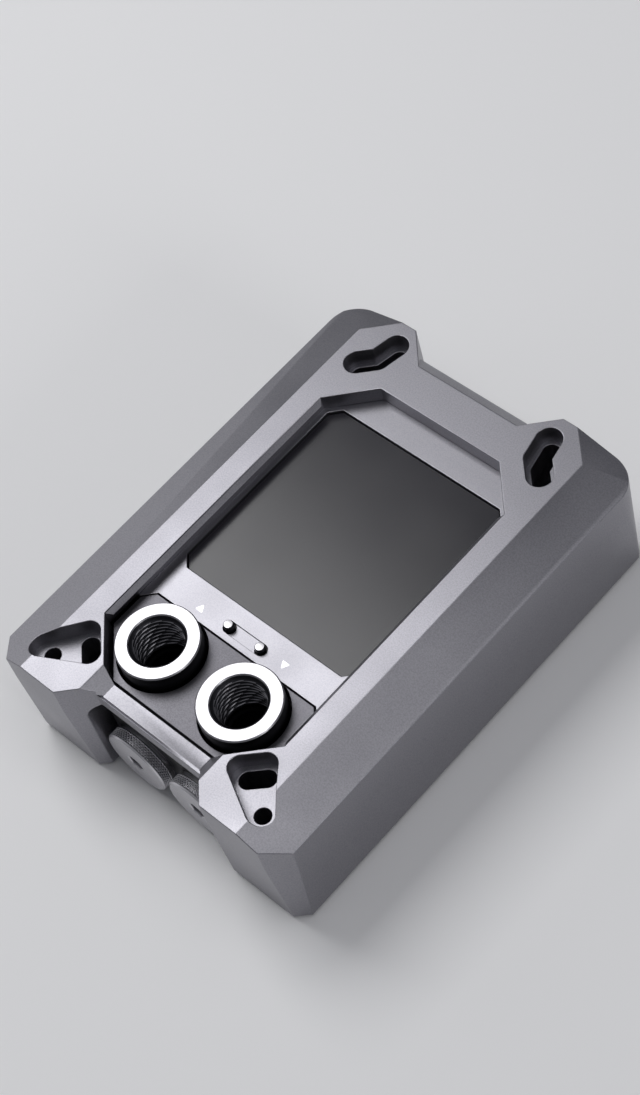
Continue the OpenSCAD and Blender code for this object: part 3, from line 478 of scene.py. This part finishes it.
# Front plugs: turned from brass and satin plated, with a diamond knurl round the rim to grip, a
# hex socket in the middle, and fine rings on the face from the cutter.
PLUG_HEAD, PLUG_CHAMFER, HEX_FLATS, HEX_DEEP = 4.0 * MM, 0.45 * MM, 4.0 * MM, 3.0 * MM
KNURLS, KNURL_DEEP, KNURL_ROWS, PLUG_AROUND = 60, 0.28 * MM, 22, 480
PLUG_SHANK, PLUG_SEAL_ROOM = 6.53 * MM, 1.2 * MM
KNURL_PITCH, KNURL_RUN_OUT, KNURL_STEEP = 0.9 * MM, 0.25 * MM, 4.4
HEX_BREAK, RIM_BREAK, PLUG_NECK, SHANK_CHAMFER = 0.25 * MM, 0.3 * MM, 0.4 * MM, 0.6 * MM
# Share of the face's radius at which its outer ring begins
FACE_RING = 0.62


def diamonds(angle, height, pitch):
    """Depth from 0 to 1 of a diamond knurl: two sets of V grooves that lean opposite ways, and the
    deeper of the two holds at each place."""
    way, lean = angle * KNURLS, height / pitch
    grooves = [1 - KNURL_STEEP * np.abs(phase % 1 - 0.5) for phase in (way + lean, way - lean)]
    return np.maximum(*grooves).clip(0, 1)


plug_faces = []
for side in ("left", "right"):
    low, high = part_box("plug_" + side)
    plug_faces.append(((low.x + high.x) / 2, low.y, (low.z + high.z) / 2))
satin_brass = rings_metal("satin_turned_plug", "#D0CFD3", "#C0BFC4", 0.36, plug_faces,
                          0.4 * MM, 0.006 * MM)
for side, front in zip(("left", "right"), plug_faces):
    low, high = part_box("plug_" + side)
    plug_radius, plug_length = (high.x - low.x) / 2, high.y - low.y
    angle = np.linspace(0, 1, PLUG_AROUND, endpoint=False)
    sector = (angle * 2 * np.pi) % (np.pi / 3) - np.pi / 6
    hexagon = HEX_FLATS / 2 / np.cos(sector)
    rim = np.linspace(PLUG_CHAMFER, PLUG_HEAD - PLUG_SEAL_ROOM, KNURL_ROWS)
    fade = np.clip(np.minimum(rim - rim[0], rim[-1] - rim) / KNURL_RUN_OUT, 0, 1)[:, None]
    cut = KNURL_DEEP * diamonds(angle, rim[:, None], KNURL_PITCH) * fade
    # Rows of (radius, depth): the socket and the face, the knurled rim, then the neck and the shank
    neck = plug_radius - PLUG_NECK
    rows = [(0 * hexagon, HEX_DEEP), (hexagon, HEX_DEEP), (hexagon, HEX_BREAK), (hexagon + HEX_BREAK, 0),
            (0 * angle + plug_radius * FACE_RING, 0), (0 * angle + plug_radius - PLUG_CHAMFER, 0)]
    rows += list(zip(plug_radius - cut, rim))
    rows += [(0 * angle + out, deep) for out, deep in (
        (neck, PLUG_HEAD - PLUG_SEAL_ROOM + RIM_BREAK), (neck, PLUG_HEAD), (PLUG_SHANK, PLUG_HEAD),
        (PLUG_SHANK, plug_length - SHANK_CHAMFER), (PLUG_SHANK - SHANK_CHAMFER, plug_length),
        (0, plug_length))]
    mesh = grid_mesh("knurled_plug_" + side,
                     turned(np.stack([row[0] for row in rows]), np.array([row[1] for row in rows]),
                            front, (0, 1, 0), PLUG_AROUND))
    finish_piece(add_object("knurled_plug_" + side, mesh), satin_brass, "plug_brass", "plug_" + side)


# Contact pins: turned steel pins, their sides coloured near black as painted shade and their ends bright
# steel.
# Each stands in a bush, coloured near black as painted shade, that keeps it clear of the face plate.
PIN_RADIUS, PIN_FOOT, PIN_CHAMFER, PIN_CROWN = 1.2 * MM, 1.0 * MM, 0.2 * MM, 0.05 * MM
CROWN_ROWS, PIN_AROUND = 7, 48
pin_tops = []
for side in ("left", "right"):
    low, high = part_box("contact_pin_" + side)
    pin_tops.append(((low.x + high.x) / 2, (low.y + high.y) / 2, high.z))
bright_steel = rings_metal("bright_turned_pin", "#B2B1B5", "#A2A1A5", 0.3, pin_tops, 0.25 * MM, 0.004 * MM)
# Painted shade: near black on the pins' sides, standing in for the dark they show; only the crowned end is
# bright steel
pin_shade_steel = rings_metal("pin_sides_painted_shade", "#303034", "#232326", 0.3, pin_tops, 0.25 * MM, 0.003 * MM)
for side, top in zip(("left", "right"), pin_tops):
    low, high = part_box("contact_pin_" + side)
    foot_radius = (high.x - low.x) / 2
    # The end is a shallow crown inside the chamfer: its height falls with the square of the radius
    crown = np.linspace(PIN_RADIUS - PIN_CHAMFER, 0, CROWN_ROWS)
    radius = np.concatenate([[0, foot_radius, foot_radius, PIN_RADIUS, PIN_RADIUS], crown])
    height = np.concatenate([[low.z, low.z, low.z + PIN_FOOT, low.z + PIN_FOOT,
                              top[2] - PIN_CROWN - PIN_CHAMFER],
                             top[2] - PIN_CROWN * (crown / crown[0]) ** 2])
    mesh = grid_mesh("bright_ended_pin_" + side,
                     turned(radius[:, None], height, (top[0], top[1], 0), (0, 0, 1), PIN_AROUND))
    piece = add_object("bright_ended_pin_" + side, mesh)
    finish_piece(piece, pin_shade_steel, "pin_steel", "contact_pin_" + side)
    recolour_faces(mesh, (bright_steel, lambda spot: spot[:, 2] > top[2] - PIN_CROWN))


# Pin bushes: short rings pressed into the face plate, that the two pins stand in, coloured near black
# as painted shade for the recess round each pin. They show only as a dark ring round each pin.
def moulded(name, colour, roughness, grain, depth):
    """Plain moulded or milled plastic or rubber: fine noise as wide as `grain` gives its skin."""
    material, tree, surface, place = new_material(name, colour, Roughness=roughness)
    skin = add_node(tree, "ShaderNodeTexNoise", {"Scale": 1 / grain, "Detail": 3.0}, {"Vector": place})
    bump = add_node(tree, "ShaderNodeBump", {"Distance": depth}, {"Height": skin.outputs["Fac"]})
    tree.links.new(bump.outputs["Normal"], surface.inputs["Normal"])
    return material


def dress(node, material):
    """Gives a CAD node its material."""
    for slot in nodes[node].material_slots:
        slot.material = material


# Painted shade: near black, standing in for the shade in the recess round each pin
bush_painted_shade = moulded("painted_shade_pin_bush", "#161618", 0.45, 0.2 * MM, 0.005 * MM)
for side in ("left", "right"):
    dress("pin_bush_" + side, bush_painted_shade)


# Manifold: black acetal, milled from plate, which holds the water channels and closes the cover's
# underside. It is dark and waxy, with a fine grain that the cutter left.
MANIFOLD_EDGE = 0.2 * MM
acetal = moulded("milled_black_acetal", "#1B1B1E", 0.42, 0.5 * MM, 0.012 * MM)
finish_piece(machined_copy("milled_manifold", "manifold_body", MANIFOLD_EDGE), acetal, "acetal",
             "manifold_body")


# Cold plate: copper, milled with fins above and lapped flat below, where it meets the processor.
# The lapped face is a soft mirror with fine scratches both ways.
COPPER, COPPER_DARK = "#C98A68", "#B67350"
SCRATCH_WIDE, SCRATCH_LONG, SCRATCH_DEEP, SCRATCH_LEAN = 0.2 * MM, 9 * MM, 0.004 * MM, 35
COPPER_EDGE = 0.1 * MM
lapped_copper, tree, surface, place = new_material("lapped_copper", COPPER, Metallic=1.0)
scratches = []
for lean in (SCRATCH_LEAN, -SCRATCH_LEAN):
    turned_way = add_node(tree, "ShaderNodeMapping",
                          {"Rotation": (0, 0, math.radians(lean)),
                           "Scale": (1 / SCRATCH_WIDE, 1 / SCRATCH_LONG, 1)}, {"Vector": place})
    scratches.append(add_node(tree, "ShaderNodeTexNoise", {"Scale": 1.0, "Detail": 4.0},
                              {"Vector": turned_way.outputs["Vector"]}).outputs["Fac"])
both = add_node(tree, "ShaderNodeMath", {"operation": "MULTIPLY"}, {0: scratches[0], 1: scratches[1]})
tone = add_node(tree, "ShaderNodeValToRGB", {"stops": [(0.1, COPPER_DARK), (0.4, COPPER)]},
                {"Fac": both.outputs[0]})
gloss = add_node(tree, "ShaderNodeMapRange", {"From Max": 0.5, "To Min": 0.34, "To Max": 0.2},
                 {"Value": both.outputs[0]})
bump = add_node(tree, "ShaderNodeBump", {"Distance": SCRATCH_DEEP}, {"Height": both.outputs[0]})
tree.links.new(tone.outputs["Color"], surface.inputs["Base Color"])
tree.links.new(gloss.outputs["Result"], surface.inputs["Roughness"])
tree.links.new(bump.outputs["Normal"], surface.inputs["Normal"])
finish_piece(machined_copy("lapped_cold_plate", "cold_plate", COPPER_EDGE), lapped_copper, "copper",
             "cold_plate")


# Screws: steel cap screws with a black oxide skin, all driven in from below. They hold the cover,
# the two plates, the port block, the bracket and the board, and keep the shape of their solids.
oxide_steel = blasted_metal("black_oxide_steel", "#37373B", "#2A2A2D", 0.36, 0.25 * MM, 0.004 * MM)
for group in ("cold_plate_screws", "cover_screws", "port_block_screws", "face_plate_screws",
              "bracket_screws", "board_screws"):
    dress(group, oxide_steel)


# Seals: moulded rubber rings, one under each collar and each plug and a wide one round the cold
# plate. They are squeezed between their pieces, and little of them shows.
rubber = moulded("moulded_seal_rubber", "#131314", 0.7, 0.3 * MM, 0.01 * MM)
for seal in ("bushing_seal_left", "bushing_seal_right", "plug_seal_left", "plug_seal_right",
             "cold_plate_seal"):
    dress(seal, rubber)


# Inside: the display panel, its rolled steel bracket, the green board with its chips, the drawn
# steel data socket, and the jet plate over the fins.
sheet_steel = blasted_metal("rolled_sheet_steel", "#B9BABD", "#A6A7AA", 0.3, 0.6 * MM, 0.004 * MM)
dress("display_bracket", sheet_steel)
dress("jet_plate", sheet_steel)
socket_steel = blasted_metal("drawn_socket_steel", "#C3C4C8", "#B2B3B7", 0.26, 0.3 * MM, 0.003 * MM)
dress("data_socket", socket_steel)
dress("display_module", moulded("display_back_film", "#24262B", 0.3, 0.8 * MM, 0.004 * MM))
dress("control_board", moulded("green_solder_mask", "#16482D", 0.32, 0.9 * MM, 0.02 * MM))
